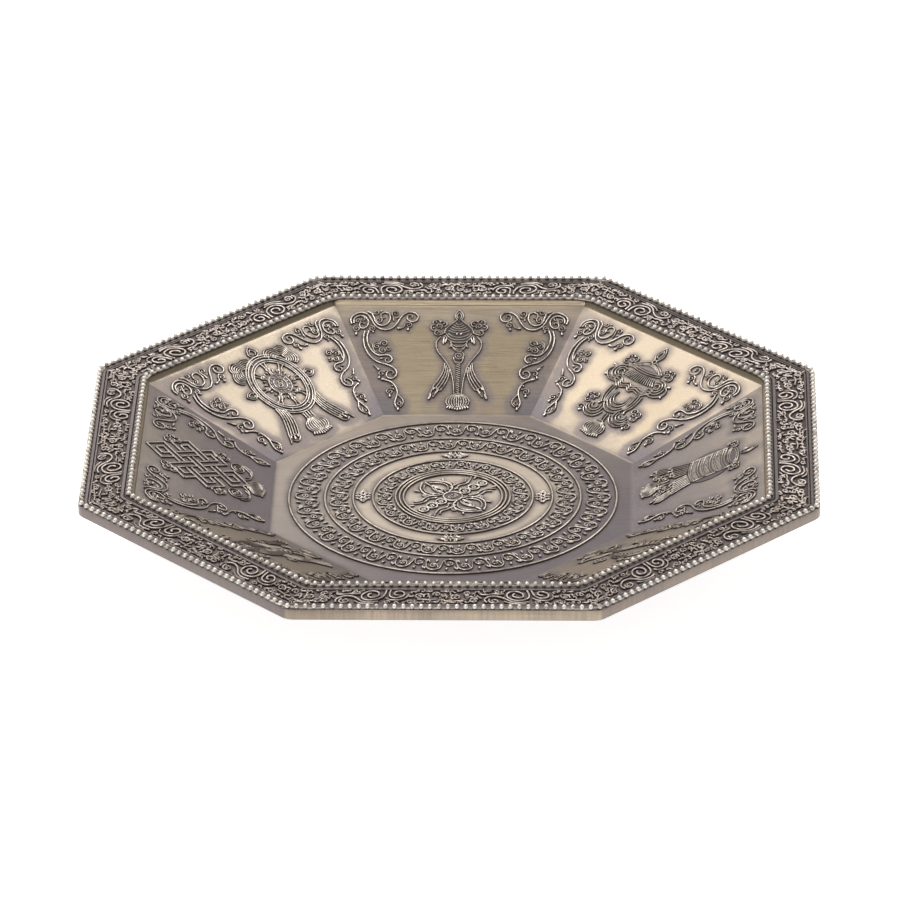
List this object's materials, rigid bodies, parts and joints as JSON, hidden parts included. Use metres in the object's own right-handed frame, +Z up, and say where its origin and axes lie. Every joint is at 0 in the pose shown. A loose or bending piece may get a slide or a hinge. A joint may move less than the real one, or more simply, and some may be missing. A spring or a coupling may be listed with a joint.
{
  "type": "offering dish",
  "caption": "Octagonal shallow brass offering dish with a beaded rim, scroll friezes, sloping walls with relief emblems and a ringed flat floor.",
  "frame": {"origin": "centre of the flat base, on the surface that the dish stands on", "axes": "+Z up along the dish's axis; -Y towards the front side, flats facing X and Y"},
  "size_m": [0.24, 0.24, 0.0261],
  "materials": {
    "pan_brass": "antique brass, brushed, grey-brown patina with pale rubbed fields",
    "bead_brass": "antique brass, rubbed bright on the high points, dark in the gaps",
    "relief_brass": "antique brass relief, rubbed bright on the ridges, dark beside them",
    "frieze_brass": "antique brass relief on a dark ground"
  },
  "bodies": {
    "root": {"dish_pan": "pan_brass", "outer_beading": "bead_brass", "inner_beading": "bead_brass", "rim_frieze_east": "frieze_brass", "emblem_victory_banner": "relief_brass", "spray_east_left": "relief_brass", "spray_east_right": "relief_brass", "rim_frieze_northeast": "frieze_brass", "emblem_treasure_vase": "relief_brass", "spray_northeast_left": "relief_brass", "spray_northeast_right": "relief_brass", "rim_frieze_north": "frieze_brass", "emblem_parasol": "relief_brass", "spray_north_left": "relief_brass", "spray_north_right": "relief_brass", "rim_frieze_northwest": "frieze_brass", "emblem_wheel": "relief_brass", "spray_northwest_left": "relief_brass", "spray_northwest_right": "relief_brass", "rim_frieze_west": "frieze_brass", "emblem_endless_knot": "relief_brass", "spray_west_left": "relief_brass", "spray_west_right": "relief_brass", "rim_frieze_southwest": "frieze_brass", "emblem_conch": "relief_brass", "spray_southwest_left": "relief_brass", "spray_southwest_right": "relief_brass", "rim_frieze_south": "frieze_brass", "emblem_lotus": "relief_brass", "spray_south_left": "relief_brass", "spray_south_right": "relief_brass", "rim_frieze_southeast": "frieze_brass", "emblem_paired_fishes": "relief_brass", "spray_southeast_left": "relief_brass", "spray_southeast_right": "relief_brass", "floor_ring_1": "bead_brass", "floor_ring_2": "bead_brass", "floor_ring_3": "bead_brass", "floor_ring_4": "bead_brass", "centre_ring": "bead_brass", "outer_vine_band": "relief_brass", "middle_vine_band": "relief_brass", "inner_vine_band": "relief_brass", "centre_crossed_bolts": "relief_brass", "floor_leaf_east": "relief_brass", "floor_leaf_north": "relief_brass", "floor_leaf_west": "relief_brass", "floor_leaf_south": "relief_brass"}
  },
  "joints": []
}
